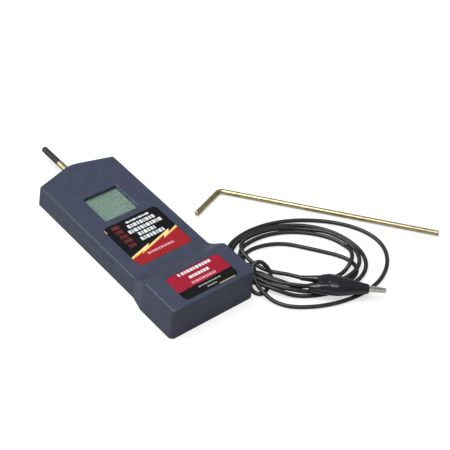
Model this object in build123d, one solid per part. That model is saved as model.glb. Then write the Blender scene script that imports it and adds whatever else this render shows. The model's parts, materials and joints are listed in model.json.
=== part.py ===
from build123d import *
import math
import os

# A handheld digital electric-fence tester with a clip lead and a ground rod, in millimetres.
# The case lies on its back: X across the case, +Y towards the contact prong, +Z out of the
# display. The origin is the centre of the case's back face, which rests on z = 0.

# ---- case -----------------------------------------------------------------------------------
CASE_FRONT_Y = -83.2          # front face of the battery base, at its foot
SHOULDER_Y = 74.9             # where the straight sides meet the sloping top end
PEAK_Y = 84.3                 # where the two slopes of the top end would meet
BODY_HALF = 33.1              # half width of the narrow body, at its foot
BASE_HALF = 36.2              # half width of the battery base, at its foot
BASE_BACK_Y = -49.6           # where the base's full height ends
BODY_START_Y = -37.8          # where the narrow body's height begins
BODY_HEIGHT = 16.3
BASE_HEIGHT = 25.2
DRAFT = 2.0                   # degrees that the side walls lean inwards
WALL = 2.2
EDGE_RADIUS = 1.3

# ---- back cover and battery door --------------------------------------------------------------
COVER_THICK = 2.2
COVER_INSET = 1.35            # from the case's outer foot to the cover's edge
COVER_GAP = 0.1
DOOR_HALF = 28.4
DOOR_FRONT_Y = -80.0
DOOR_BACK_Y = -51.6
DOOR_GAP = 0.3

# ---- screws and posts ----------------------------------------------------------------------------
CASE_SCREW_SPOTS = [(-27.0, 66.0), (27.0, 66.0), (-28.3, -41.0), (28.3, -41.0)]
BOSS_RADIUS = 3.2
SCREW_RADIUS = 1.4
SCREW_HEAD_RADIUS = 2.8
SCREW_HEAD_DEPTH = 1.4
SCREW_LENGTH = 9.0
THREAD_GAP = 0.05
BOARD_SCREW_SPOTS = [(-21.0, 55.5), (21.0, 55.5), (-21.0, -33.0), (21.0, -33.0)]
POST_RADIUS = 2.2
BOARD_SCREW_RADIUS = 0.9
BOARD_SCREW_HEAD = 1.7

# ---- display --------------------------------------------------------------------------------------
WINDOW_Y = 33.4
WINDOW_WIDTH = 29.0
WINDOW_LENGTH = 27.0
LENS_THICK = 1.2
LCD_THICK = 2.4
LCD_MARGIN = 3.0              # the LCD's edge hidden behind the case, each side
HOLDER_WALL = 1.3
ZEBRA_WIDTH = 2.0

# ---- labels ---------------------------------------------------------------------------------------
LABEL_DEPTH = 0.4
LABEL_THICK = 0.25
LABEL_GAP = 0.2
FRONT_LABEL = (1.4, -7.5, 46.6, 43.2)        # centre x, centre y, width, length
BATTERY_LABEL = (0.8, -66.5, 46.2, 23.7)
LABEL_CORNER = 3.5

# ---- circuit board ----------------------------------------------------------------------------------
BOARD_BOTTOM = 5.0
BOARD_THICK = 1.6
BOARD_HALF = 24.0
BOARD_FRONT_Y = -36.0
BOARD_BACK_Y = 59.0

# ---- contact prong ------------------------------------------------------------------------------------
PRONG_Z = 8.0
PRONG_RADIUS = 2.5
STUD_RADIUS = 2.0             # the prong's threaded inner end
PRONG_INNER_Y = 69.4
PRONG_SEAT_Y = 84.1           # where the prong's shoulder sits on the case
PRONG_STEP_Y = 96.0           # where the black end sleeve starts
PRONG_TIP_Y = 116.5
PRONG_CORE_RADIUS = 1.4
SLEEVE_RADIUS = 2.3
NUT_FLATS = 7.0
NUT_THICK = 3.2
PRONG_BOSS_Y = 75.0

# ---- battery ---------------------------------------------------------------------------------------------
BATTERY_LONG = 46.4
BATTERY_WIDE = 26.4
BATTERY_THICK = 17.5
BATTERY_LEFT = -27.0
BATTERY_FRONT_Y = -79.4
BATTERY_BOTTOM = 4.0
TERMINAL_HEIGHT = 2.1
SNAP_THICK = 3.6

# ---- ground lead ---------------------------------------------------------------------------------------------
CORD_DIAMETER = 3.0
EXIT_Y = -62.0
EXIT_Z = 8.0
LEAD_START = [                # from the grommet, back towards the case, into the hitch
    (41.6, -62.0, 8.0),
    (46.1, -62.0, 8.0),
    (48.3, -64.1, 7.9),
    (48.3, -67.3, 7.5),
    (45.8, -69.4, 6.6),
]
LEAD_END = [                  # from the hitch on the coil to the clip's tail
    (57.8, -72.2, 4.5),
    (61.8, -77.8, 4.6),
    (65.8, -82.8, 5.4),
    (68.6, -89.8, 7.0),
    (72.0, -96.3, 8.5),
]
ARC_SHARE = 0.45

COIL_CENTRE = (93.0, -79.5)
COIL_LONG = 61.2              # the coil's outer shape is an ellipse, turned by COIL_TILT
COIL_SHORT = 44.7
COIL_TILT = -20.0
COIL_HEIGHT = 4.8
COIL_LOW_HEIGHT = 3.2         # one layer of cord, under the clip
HOLE_CENTRE = (83.0, -80.5)
HOLE_LONG = 36.0
HOLE_SHORT = 16.0
HOLE_TILT = -47.0
HITCH_CENTRE = (48.5, -77.0)
HITCH_WIDTH = 18.0
HITCH_LENGTH = 20.0
HITCH_HEIGHT = 12.0
HITCH_TURN = -25.0

# ---- clip -----------------------------------------------------------------------------------------------------
CLIP_TAIL = (67.4, -97.0, 8.5)
CLIP_TURN = -42.0             # degrees from +X, seen from above
CLIP_LENGTH = 59.0
PIVOT_U = 27.0
HANDLE_END_U = 7.0
SHEET = 0.5
FIXED_JAW_HALF = 1.8
MOVING_JAW_HALF = 1.2
PIN_RADIUS = 1.0
PIN_GAP = 0.05
TOOTH_PITCH = 1.6
TOOTH_DEPTH = 0.5
TOOTH_COUNT = 7
BOOT_LENGTH = 47.0
BOOT_WALL = 1.0
BOOT_SECTIONS = [             # distance from the tail, half width, half height
    (0.0, 7.4, 4.2),
    (14.0, 7.6, 4.9),
    (27.0, 6.8, 4.9),
    (38.0, 5.1, 4.3),
    (47.0, 4.1, 3.8),
]

# ---- ground rod ------------------------------------------------------------------------------------------------
ROD_RADIUS = 2.0
ROD_SHORT_END = (55.3, 2.4)
ROD_BEND = (85.7, 12.8)
ROD_LONG_END = (193.2, -112.2)
ROD_BEND_RADIUS = 5.0

os.makedirs("parts", exist_ok=True)


def save(node, *solids):
    """Write one sub-part: its solids, each one separate, in a file named after the node."""
    shape = solids[0] if len(solids) == 1 else Compound(children=list(solids))
    export_step(shape, f"parts/{node}.step")


def block(x_range, y_range, z_range):
    """A box between two corners."""
    size = [high - low for low, high in (x_range, y_range, z_range)]
    middle = [(high + low) / 2 for low, high in (x_range, y_range, z_range)]
    return Pos(*middle) * Box(*size)


def post(x, y, low, high, radius):
    """An upright cylinder."""
    return Pos(x, y, (low + high) / 2) * Cylinder(radius, high - low)


def rod_y(x, z, y_low, y_high, radius):
    """A cylinder along Y."""
    return Pos(x, (y_low + y_high) / 2, z) * Rot(90, 0, 0) * Cylinder(radius, y_high - y_low)


def rod_x(y, z, x_low, x_high, radius):
    """A cylinder along X."""
    return Pos((x_low + x_high) / 2, y, z) * Rot(0, 90, 0) * Cylinder(radius, x_high - x_low)


def rounded_plate(centre_x, centre_y, width, length, low, high, corner):
    """An upright slab with rounded plan corners."""
    face = RectangleRounded(width, length, corner)
    return Pos(centre_x, centre_y, low) * extrude(face, high - low)


def corner_radii(points):
    """The arc radius at each inner point of a cord's route."""
    radii = []
    for before, here, after in zip(points, points[1:], points[2:]):
        run_in = Vector(*here) - Vector(*before)
        run_out = Vector(*after) - Vector(*here)
        half_turn = math.radians(run_in.get_angle(run_out)) / 2
        radii.append(ARC_SHARE * min(run_in.length, run_out.length) / math.tan(half_turn))
    return radii


def tube(name, points, diameter, radii=None):
    """A round wire or cord along straight runs joined by tangent arcs."""
    radii = radii or corner_radii(points)
    path = FilletPolyline(*points, radius=radii)
    start = Plane(path @ 0, z_dir=path % 0)
    solid = sweep(start * Circle(diameter / 2), path=path)
    expected = math.pi * diameter ** 2 / 4 * path.length
    print(name, "length", round(path.length, 1), "radii", [round(r, 1) for r in radii],
          "volume ratio", round(solid.volume / expected, 4))
    return solid


# ---- the case's outer and inner forms -----------------------------------------------------------

def plan_outline(inset):
    """The case's foot, seen from above, moved inwards by inset."""
    corners = [
        (-BASE_HALF, CASE_FRONT_Y), (BASE_HALF, CASE_FRONT_Y), (BASE_HALF, BASE_BACK_Y),
        (BODY_HALF, BODY_START_Y), (BODY_HALF, SHOULDER_Y), (0, PEAK_Y),
        (-BODY_HALF, SHOULDER_Y), (-BODY_HALF, BODY_START_Y), (-BASE_HALF, BASE_BACK_Y),
    ]
    face = make_face(Polyline(*corners, close=True))
    radius_at = {CASE_FRONT_Y: 3.5, BASE_BACK_Y: 8.0, BODY_START_Y: 12.0, SHOULDER_Y: 2.4, PEAK_Y: 22.0}
    for level, radius in radius_at.items():
        spots = [v for v in face.vertices() if abs(v.Y - level) < 0.01]
        face = fillet(spots, radius)
    if inset:
        face = offset(face, amount=-inset)
    return face


def side_limit(drop):
    """A solid under the case's side view: the narrow body, the ramp and the base."""
    points = [
        (-120, -5), (-120, BASE_HEIGHT - drop), (BASE_BACK_Y, BASE_HEIGHT - drop),
        (BODY_START_Y - drop * 0.3, BODY_HEIGHT - drop), (120, BODY_HEIGHT - drop), (120, -5),
    ]
    face = make_face(Polyline(*points, close=True))
    knee = [v for v in face.vertices() if abs(v.X - BASE_BACK_Y) < 0.01]
    face = fillet(knee, 6.0)
    foot = [v for v in face.vertices() if abs(v.X - BODY_START_Y) < 1 and v.Y > 0]
    face = fillet(foot, 14.0)
    upright = Plane(origin=(-60, 0, 0), x_dir=(0, 1, 0), z_dir=(1, 0, 0))
    return extrude(upright * face, 120)


def case_form(inset, drop):
    """The case's full form, walls leaning inwards, moved in by inset and down by drop."""
    return extrude(plan_outline(inset), BASE_HEIGHT + 5, taper=DRAFT) & side_limit(drop)


def top_rim(form):
    """The edges where the form's top surfaces meet its side walls."""
    tops = [f for f in form.faces() if f.normal_at().Z > 0.5]
    shared = []
    for face in tops:
        for edge in face.edges():
            owners = [t for t in tops if any(edge.is_same(e) for e in t.edges())]
            if len(owners) == 1:
                shared.append(edge)
    return shared


outer_form = case_form(0, 0)
outer_form = fillet(top_rim(outer_form), EDGE_RADIUS)
inner_form = case_form(WALL, WALL)
roof = BODY_HEIGHT - WALL
base_roof = BASE_HEIGHT - WALL


# ---- front case -----------------------------------------------------------------------------------

def make_front_case():
    shell = outer_form - inner_form
    ribs = block((-40, 40), (-50.4, -48.8), (COVER_THICK + 0.1, BASE_HEIGHT))
    ribs -= block((18, 30), (-55, -45), (5, 15.5))
    for x, y in CASE_SCREW_SPOTS:
        ribs += post(x, y, COVER_THICK + 0.1, roof + 1, BOSS_RADIUS)
    for x, y in BOARD_SCREW_SPOTS:
        ribs += post(x, y, BOARD_BOTTOM + BOARD_THICK, roof + 1, POST_RADIUS)
    ribs += block((-7, 7), (PRONG_BOSS_Y, PEAK_Y), (COVER_THICK + 0.1, roof + 1))
    shell += ribs & outer_form
    shell -= extrude(plan_outline(COVER_INSET - COVER_GAP), COVER_THICK + 0.1)
    for x, y in CASE_SCREW_SPOTS:
        shell -= post(x, y, 0, SCREW_LENGTH + 1, SCREW_RADIUS + THREAD_GAP)
    for x, y in BOARD_SCREW_SPOTS:
        shell -= post(x, y, 0, BOARD_BOTTOM + BOARD_THICK + 6, BOARD_SCREW_RADIUS + THREAD_GAP)
    opening = rounded_plate(0, WINDOW_Y, WINDOW_WIDTH, WINDOW_LENGTH, roof - 1, BODY_HEIGHT + 1, 0.8)
    shell -= opening
    rim = [e for e in shell.edges()
           if abs(e.center().Z - BODY_HEIGHT) < 0.01
           and abs(e.center().X) < WINDOW_WIDTH / 2 + 0.1
           and abs(e.center().Y - WINDOW_Y) < WINDOW_LENGTH / 2 + 0.1]
    shell = chamfer(rim, 0.6)
    for label, top in ((FRONT_LABEL, BODY_HEIGHT), (BATTERY_LABEL, BASE_HEIGHT)):
        x, y, width, length = label
        shell -= rounded_plate(x, y, width, length, top - LABEL_DEPTH, top + 1, LABEL_CORNER)
    shell -= rod_y(0, PRONG_Z, PRONG_BOSS_Y - 1, PEAK_Y + 2, STUD_RADIUS + THREAD_GAP)
    shell -= rod_x(EXIT_Y, EXIT_Z, 30, 40, 2.6)
    return shell


# ---- back cover and battery door --------------------------------------------------------------------

def countersink(x, y, top_radius, depth):
    """A cone that opens towards the back face."""
    return Pos(x, y, depth / 2) * Cone(top_radius, SCREW_RADIUS + 0.1, depth)


def make_back_cover():
    cover = extrude(plan_outline(COVER_INSET), COVER_THICK)
    cover -= block((-DOOR_HALF, DOOR_HALF), (DOOR_FRONT_Y, DOOR_BACK_Y), (-1, COVER_THICK + 1))
    for x, y in CASE_SCREW_SPOTS:
        cover -= post(x, y, -1, COVER_THICK + 1, SCREW_RADIUS + 0.15)
        cover -= countersink(x, y, SCREW_HEAD_RADIUS + 0.1, SCREW_HEAD_DEPTH + 0.1)
    return cover


def make_battery_door():
    """Two tabs hook over the cover's rim, and a springy tongue holds the other edge."""
    hinge_y = DOOR_FRONT_Y + DOOR_GAP
    latch_y = DOOR_BACK_Y - DOOR_GAP
    half = DOOR_HALF - DOOR_GAP
    door = block((-half, half), (hinge_y, latch_y), (0, COVER_THICK))
    for x in (-16, 16):
        door += block((x - 4, x + 4), (hinge_y, hinge_y + 1.0), (COVER_THICK, 3.5))
        door += block((x - 4, x + 4), (hinge_y - 1.05, hinge_y + 0.5), (COVER_THICK + 0.2, 3.5))
    door += block((-5, 5), (latch_y - 1.05, latch_y - 0.5), (COVER_THICK, 6.0))
    door += block((-5, 5), (latch_y - 0.6, latch_y), (2.5, 3.2))
    door -= Pos(0, latch_y - 4, -3.2) * Rot(0, 90, 0) * Cylinder(4.4, 14)
    for i in range(5):
        y = -72.0 + 3.0 * i
        door -= block((-10, 10), (y - 0.5, y + 0.5), (-1, 0.5))
    return door


def flat_head_screw(x, y, low, head_radius, head_depth, radius, length):
    """A countersunk screw with a cross recess, head down."""
    screw = Pos(x, y, low + head_depth / 2) * Cone(head_radius, radius, head_depth)
    screw += post(x, y, low + head_depth, low + length, radius)
    slot = 0.55
    arm = head_radius * 0.6
    screw -= block((x - arm, x + arm), (y - slot / 2, y + slot / 2), (low - 1, low + 0.9))
    screw -= block((x - slot / 2, x + slot / 2), (y - arm, y + arm), (low - 1, low + 0.9))
    return screw


# ---- display ---------------------------------------------------------------------------------------

board_top = BOARD_BOTTOM + BOARD_THICK
lens_bottom = roof - LENS_THICK
lcd_top = lens_bottom - 0.3
lcd_bottom = lcd_top - LCD_THICK
lcd_half_x = WINDOW_WIDTH / 2 + LCD_MARGIN
lcd_half_y = WINDOW_LENGTH / 2 + LCD_MARGIN


def make_lens():
    width = WINDOW_WIDTH + 2 * LCD_MARGIN - 2
    length = WINDOW_LENGTH + 2 * LCD_MARGIN - 2
    return rounded_plate(0, WINDOW_Y, width, length, lens_bottom, roof, 1.0)


def make_lcd():
    y_range = (WINDOW_Y - lcd_half_y, WINDOW_Y + lcd_half_y)
    return block((-lcd_half_x, lcd_half_x), y_range, (lcd_bottom, lcd_top))


def make_holder():
    """A frame that stands on the board and holds the LCD's edges."""
    inner_x = lcd_half_x + 0.15
    inner_y = lcd_half_y + 0.15
    outer_x = inner_x + HOLDER_WALL
    outer_y = inner_y + HOLDER_WALL
    frame = block((-outer_x, outer_x), (WINDOW_Y - outer_y, WINDOW_Y + outer_y),
                  (board_top, lcd_top))
    frame -= block((-inner_x, inner_x), (WINDOW_Y - inner_y, WINDOW_Y + inner_y),
                   (board_top - 1, lcd_top + 1))
    return frame


def make_zebra(side):
    y = WINDOW_Y + side * (lcd_half_y - ZEBRA_WIDTH / 2 - 0.3)
    return block((-15, 15), (y - ZEBRA_WIDTH / 2, y + ZEBRA_WIDTH / 2), (board_top, lcd_bottom))


# ---- labels -----------------------------------------------------------------------------------------

def make_label(label, top):
    x, y, width, length = label
    low = top - LABEL_DEPTH
    return rounded_plate(x, y, width - 2 * LABEL_GAP, length - 2 * LABEL_GAP,
                         low, low + LABEL_THICK, LABEL_CORNER - LABEL_GAP)


# ---- circuit board and what is on it ----------------------------------------------------------------------

def make_board():
    board = block((-BOARD_HALF, BOARD_HALF), (BOARD_FRONT_Y, BOARD_BACK_Y),
                  (BOARD_BOTTOM, board_top))
    for x, y in BOARD_SCREW_SPOTS:
        board -= post(x, y, BOARD_BOTTOM - 1, board_top + 1, BOARD_SCREW_RADIUS + 0.3)
    return board


def make_board_screw(x, y):
    """A pan-head screw that holds the board up against its post."""
    head_low = BOARD_BOTTOM - 1.2
    screw = post(x, y, head_low, BOARD_BOTTOM, BOARD_SCREW_HEAD)
    screw += post(x, y, BOARD_BOTTOM, board_top + 5, BOARD_SCREW_RADIUS)
    screw -= block((x - 1.1, x + 1.1), (y - 0.25, y + 0.25), (head_low - 1, head_low + 0.6))
    return screw


def make_chip():
    """The meter chip: a flat body with a row of legs along each side."""
    x, y = 3.0, 3.0
    half = 6.0
    solids = [block((x - half, x + half), (y - half, y + half), (board_top + 0.3, board_top + 2.3))]
    for i in range(8):
        along = -half + 1.15 + i * 1.4
        for side in (-1, 1):
            foot = side * (half + 0.7)
            root = side * half
            low, high = sorted((foot, root))
            solids.append(block((x + along - 0.25, x + along + 0.25), (y + low, y + high),
                                (board_top, board_top + 1.2)))
            solids.append(block((x + low, x + high), (y + along - 0.25, y + along + 0.25),
                                (board_top, board_top + 1.2)))
    return solids


def make_resistor(y):
    """One high-voltage resistor of the divider, lying across the board on its two leads."""
    x = -13.0
    z = board_top + 2.4
    half_body = 4.5
    half_lead = 7.0
    body = rod_x(y, z, x - half_body, x + half_body, 1.8)
    body += rod_x(y, z, x - half_lead, x + half_lead, 0.35)
    for side in (-1, 1):
        body += post(x + side * (half_lead - 0.35), y, board_top, z, 0.35)
    return body


def make_capacitor(y):
    """A can capacitor standing on the board."""
    can = post(15.0, y, board_top, board_top + 6.4, 2.5)
    return fillet(can.edges().sort_by(Axis.Z)[-1], 0.5)


def make_trimmer():
    x, y = 14.0, 4.0
    trimmer = block((x - 3.2, x + 3.2), (y - 3.2, y + 3.2), (board_top, board_top + 4.0))
    trimmer += post(x, y, board_top + 4.0, board_top + 4.8, 1.8)
    trimmer -= block((x - 1.5, x + 1.5), (y - 0.3, y + 0.3), (board_top + 4.3, board_top + 6))
    return trimmer


# ---- contact prong ------------------------------------------------------------------------------------------

def make_prong():
    prong = rod_y(0, PRONG_Z, PRONG_INNER_Y, PRONG_SEAT_Y, STUD_RADIUS)
    prong += rod_y(0, PRONG_Z, PRONG_SEAT_Y, PRONG_STEP_Y, PRONG_RADIUS)
    prong += rod_y(0, PRONG_Z, PRONG_STEP_Y, PRONG_TIP_Y - 3, PRONG_CORE_RADIUS)
    return prong


def make_prong_sleeve():
    sleeve = rod_y(0, PRONG_Z, PRONG_STEP_Y, PRONG_TIP_Y, SLEEVE_RADIUS)
    sleeve = fillet(sleeve.edges().sort_by(Axis.Y)[-1], 1.7)
    return sleeve - rod_y(0, PRONG_Z, PRONG_STEP_Y - 1, PRONG_TIP_Y - 3, PRONG_CORE_RADIUS)


lug_thick = 0.8


def make_prong_nut():
    high = PRONG_BOSS_Y - lug_thick
    face = RegularPolygon(NUT_FLATS / 2, 6, major_radius=False) - Circle(STUD_RADIUS)
    return Pos(0, high, PRONG_Z) * Rot(90, 0, 0) * extrude(face, NUT_THICK)


def make_prong_lug():
    """A ring terminal between the nut and the case, with a tag for the wire."""
    lug = rod_y(0, PRONG_Z, PRONG_BOSS_Y - lug_thick, PRONG_BOSS_Y, 4.0)
    lug += block((3, 8), (PRONG_BOSS_Y - lug_thick, PRONG_BOSS_Y), (PRONG_Z - 1.2, PRONG_Z + 1.2))
    return lug - rod_y(0, PRONG_Z, PRONG_BOSS_Y - 2, PRONG_BOSS_Y + 1, STUD_RADIUS)


PRONG_WIRE = [(6.6, PRONG_BOSS_Y - lug_thick, 8.0), (6.6, 69.6, 8.0), (6.0, 64.6, 8.9),
              (4.6, 59.8, 10.0), (3.8, 56.6, 9.6), (3.6, 55.0, 8.6), (3.6, 55.0, board_top)]


# ---- battery --------------------------------------------------------------------------------------------------

battery_right = BATTERY_LEFT + BATTERY_LONG
battery_back_y = BATTERY_FRONT_Y + BATTERY_WIDE
battery_mid_y = (BATTERY_FRONT_Y + battery_back_y) / 2
battery_mid_z = BATTERY_BOTTOM + BATTERY_THICK / 2
terminal_spots = [(battery_mid_y - 6.35, 2.9), (battery_mid_y + 6.35, 3.7)]
snap_right = battery_right + SNAP_THICK + 0.2


def make_battery():
    body = block((BATTERY_LEFT, battery_right), (BATTERY_FRONT_Y, battery_back_y),
                 (BATTERY_BOTTOM, BATTERY_BOTTOM + BATTERY_THICK))
    body = fillet(body.edges().filter_by(Axis.X), 2.2)
    for y, radius in terminal_spots:
        body += rod_x(y, battery_mid_z, battery_right, battery_right + TERMINAL_HEIGHT, radius)
    return body


def make_snap():
    """The snap that clips over the battery's two terminals."""
    pad = block((battery_right + 0.2, snap_right), (battery_mid_y - 12, battery_mid_y + 12),
                (battery_mid_z - 6, battery_mid_z + 6))
    pad = fillet(pad.edges().filter_by(Axis.X), 4.0)
    for y, radius in terminal_spots:
        pad -= rod_x(y, battery_mid_z, battery_right - 1, battery_right + TERMINAL_HEIGHT + 0.1,
                     radius + 0.1)
    return pad


RED_WIRE = [(snap_right, -60.0, 15.6), (25.6, -60.0, 15.6), (26.6, -57.6, 15.0),
            (25.6, -52.0, 13.8), (22.5, -45.5, 12.4), (18.0, -38.0, 11.2), (16.0, -34.6, 10.0),
            (16.0, -34.2, 8.6), (16.0, -34.2, board_top)]
BLACK_WIRE = [(snap_right, -63.5, 12.4), (25.6, -63.5, 12.4), (26.2, -60.6, 12.0),
              (23.6, -53.0, 11.4), (19.0, -45.0, 11.2), (14.0, -38.0, 10.6), (12.0, -34.8, 9.6),
              (12.0, -34.2, 8.4), (12.0, -34.2, board_top)]


def make_foam():
    top = base_roof
    return block((-20, 12), (-76, -57), (BATTERY_BOTTOM + BATTERY_THICK, top))


# ---- ground lead -----------------------------------------------------------------------------------------------

wall_outer_x = BASE_HALF - EXIT_Z * math.tan(math.radians(DRAFT))


def make_grommet():
    """The strain relief: a flange each side of the wall and a tapered sleeve outside."""
    inside = wall_outer_x - WALL
    solid = rod_x(EXIT_Y, EXIT_Z, inside - 1.3, inside - 0.2, 3.8)
    solid += rod_x(EXIT_Y, EXIT_Z, inside - 0.3, wall_outer_x + 0.3, 2.55)
    solid += rod_x(EXIT_Y, EXIT_Z, wall_outer_x + 0.2, wall_outer_x + 1.2, 3.8)
    cone_low = wall_outer_x + 1.1
    cone_high = LEAD_START[0][0]
    middle = (cone_low + cone_high) / 2
    solid += Pos(middle, EXIT_Y, EXIT_Z) * Rot(0, 90, 0) * Cone(3.0, 2.1, cone_high - cone_low)
    return solid


INNER_LEAD = [(wall_outer_x - WALL - 1.3, EXIT_Y, EXIT_Z), (29.4, EXIT_Y, EXIT_Z),
              (27.4, -58.6, 8.0), (25.2, -52.4, 8.0), (20.6, -45.6, 8.3), (15.0, -39.5, 8.5),
              (8.0, -34.6, 8.2)]


def ellipse_slab(centre, long, short, tilt, low, high):
    """An upright elliptical slab, turned about Z."""
    return Pos(*centre, low) * Rot(0, 0, tilt) * extrude(Ellipse(long, short), high - low)


def clip_place(solid):
    """Move a solid from the clip's own frame (u, v, w) to its place on the coil."""
    return Pos(*CLIP_TAIL) * Rot(0, 0, CLIP_TURN) * solid


def make_coil():
    """The outer shape of the loose coil: a low ring, higher where the hitch wraps it."""
    coil = ellipse_slab(COIL_CENTRE, COIL_LONG, COIL_SHORT, COIL_TILT, 0, COIL_HEIGHT)
    coil -= ellipse_slab(HOLE_CENTRE, HOLE_LONG, HOLE_SHORT, HOLE_TILT, -1, COIL_HEIGHT + 1)
    coil -= clip_place(block((-8, CLIP_LENGTH + 6), (-17, 11), (COIL_LOW_HEIGHT - CLIP_TAIL[2], 20)))
    hitch = rounded_plate(0, 0, HITCH_WIDTH, HITCH_LENGTH, 0, HITCH_HEIGHT, 5)
    hitch = fillet(hitch.edges().group_by(Axis.Z)[-1], 3)
    coil += Pos(*HITCH_CENTRE, 0) * Rot(0, 0, HITCH_TURN) * hitch
    coil -= block((30, 38), (-130, -30), (-1, 20))
    coil -= block((30, 45), (-66.5, -56), (COIL_HEIGHT, 20))
    return coil


# ---- clip: u from tail to tip, v across the jaws, w along the hinge pin -----------------------------------

def jaw_profile(lowered):
    """One jaw seen along the pin, its outer edge lowered by the sheet's thickness or not."""
    drop = SHEET if lowered else 0
    edge = [(HANDLE_END_U, 5.8), (14, 5.7), (27, 4.6), (44, 2.0), (CLIP_LENGTH - 1, 1.1), (CLIP_LENGTH, 0.8)]
    outer = [(u, v - drop) for u, v in edge]
    if lowered:
        outer[0] = (0, outer[0][1])
        outer[-1] = (CLIP_LENGTH - 2, outer[-1][1])
        outer[-2] = (CLIP_LENGTH - 3, outer[-2][1])
        return outer + [(CLIP_LENGTH - 2, -4), (0, -4)]
    return outer + [(CLIP_LENGTH, 0.1), (34, 0.1), (31.5, -1.6), (22.5, -1.6), (20, 2.6), (HANDLE_END_U, 4.4)]


def make_jaw(half):
    """A stamped channel, its open side towards v = 0, with ears round the hinge pin."""
    body = extrude(make_face(Polyline(*jaw_profile(False), close=True)), half, both=True)
    hollow = extrude(make_face(Polyline(*jaw_profile(True), close=True)), half - SHEET, both=True)
    jaw = body - hollow
    jaw -= Pos(PIVOT_U, 0, 0) * Cylinder(PIN_RADIUS + PIN_GAP, 4 * half)
    for i in range(TOOTH_COUNT):
        u = CLIP_LENGTH - 1.2 - i * TOOTH_PITCH
        notch = make_face(Polyline((u, TOOTH_DEPTH), (u - TOOTH_PITCH / 2, 0.0), (u + TOOTH_PITCH / 2, 0.0),
                                   close=True))
        jaw -= extrude(notch, 2 * half, both=True)
    return jaw


def make_pin():
    pin = Pos(PIVOT_U, 0, 0) * Cylinder(PIN_RADIUS, 2 * FIXED_JAW_HALF + 0.2)
    for side in (-1, 1):
        pin += Pos(PIVOT_U, 0, side * (FIXED_JAW_HALF + 0.3)) * Cylinder(1.5, 0.5)
    return pin


def make_clip_spring():
    """A torsion spring round the pin, one leg along each handle."""
    wire = 0.35
    radius = 1.4
    rise = 0.95
    turns = 2.5
    path = Pos(PIVOT_U, 0, -rise / 2) * Rot(0, 0, -90) * Helix(rise / turns, rise, radius)
    start = Plane(path @ 0, z_dir=path % 0)
    spring = sweep(start * Circle(wire / 2), path=path, is_frenet=True)
    for end, w, side in ((0, -rise / 2, -1), (1, rise / 2, 1)):
        leg_from = path @ end
        leg_to = Vector(15.0, side * 4.7, w)
        line = Line(leg_from, leg_to)
        spring += sweep(Plane(line @ 0, z_dir=line % 0) * Circle(wire / 2), path=line)
    return spring


def boot_form(shrink, low, high):
    """A loft through rounded rectangles, smaller by shrink, from low to high."""
    sections = []
    for u, half_width, half_height in BOOT_SECTIONS:
        width = 2 * (half_width - shrink)
        height = 2 * (half_height - shrink)
        place = {BOOT_SECTIONS[0][0]: low, BOOT_SECTIONS[-1][0]: high}.get(u, u)
        plane = Plane(origin=(place, 0, 0), x_dir=(0, 1, 0), z_dir=(1, 0, 0))
        sections.append(plane * RectangleRounded(width, height, height * 0.24))
    return loft(sections)


def make_boot():
    return boot_form(0, 0, BOOT_LENGTH) - boot_form(BOOT_WALL, -0.5, BOOT_LENGTH + 0.5)


# ---- ground rod ---------------------------------------------------------------------------------------------

def make_ground_rod():
    points = [(*ROD_SHORT_END, ROD_RADIUS), (*ROD_BEND, ROD_RADIUS), (*ROD_LONG_END, ROD_RADIUS)]
    rod = tube("ground_rod", points, 2 * ROD_RADIUS, [ROD_BEND_RADIUS])
    ends = [e for e in rod.edges() if e.geom_type == GeomType.CIRCLE and e.length < 7 * ROD_RADIUS
            and (e.center() - Vector(*ROD_BEND, ROD_RADIUS)).length > 25]
    return chamfer(ends, 0.5)


# ---- write every sub-part ----------------------------------------------------------------------------------------

save("front_case", make_front_case())
save("back_cover", make_back_cover())
save("battery_door", make_battery_door())
save("case_screws", *[
    flat_head_screw(x, y, 0.1, SCREW_HEAD_RADIUS, SCREW_HEAD_DEPTH, SCREW_RADIUS, SCREW_LENGTH)
    for x, y in CASE_SCREW_SPOTS])
save("display_window", make_lens())
save("lcd_glass", make_lcd())
save("lcd_holder", make_holder())
save("zebra_strip_front", make_zebra(-1))
save("zebra_strip_back", make_zebra(1))
save("front_label", make_label(FRONT_LABEL, BODY_HEIGHT))
save("battery_label", make_label(BATTERY_LABEL, BASE_HEIGHT))
save("circuit_board", make_board())
save("board_screws", *[make_board_screw(x, y) for x, y in BOARD_SCREW_SPOTS])
save("meter_chip", *make_chip())
save("divider_resistors", *[make_resistor(-26.0 + 5.4 * i) for i in range(5)])
save("filter_capacitors", *[make_capacitor(-24.0 + 7.0 * i) for i in range(3)])
save("calibration_trimmer", make_trimmer())
save("contact_prong", make_prong())
save("prong_sleeve", make_prong_sleeve())
save("prong_nut", make_prong_nut())
save("prong_lug", make_prong_lug())
save("prong_wire", tube("prong_wire", PRONG_WIRE, 1.4))
save("battery", make_battery())
save("battery_snap", make_snap())
save("battery_wire_red", tube("battery_wire_red", RED_WIRE, 1.4))
save("battery_wire_black", tube("battery_wire_black", BLACK_WIRE, 1.4))
save("battery_foam", make_foam())
save("lead_grommet", make_grommet())
save("lead_inner_end", tube("lead_inner_end", INNER_LEAD, CORD_DIAMETER))
save("lead_start", tube("lead_start", LEAD_START, CORD_DIAMETER))
save("lead_coil", make_coil())
save("lead_end", tube("lead_end", LEAD_END, CORD_DIAMETER))
save("clip_fixed_jaw", clip_place(make_jaw(FIXED_JAW_HALF)))
save("clip_moving_jaw", clip_place(mirror(make_jaw(MOVING_JAW_HALF), about=Plane.XZ)))
save("clip_pin", clip_place(make_pin()))
save("clip_spring", clip_place(make_clip_spring()))
save("clip_boot", clip_place(make_boot()))
save("ground_rod", make_ground_rod())
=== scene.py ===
import json
import math
from itertools import cycle

import bmesh
import bpy
import numpy as np
from mathutils import Matrix, Vector


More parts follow.
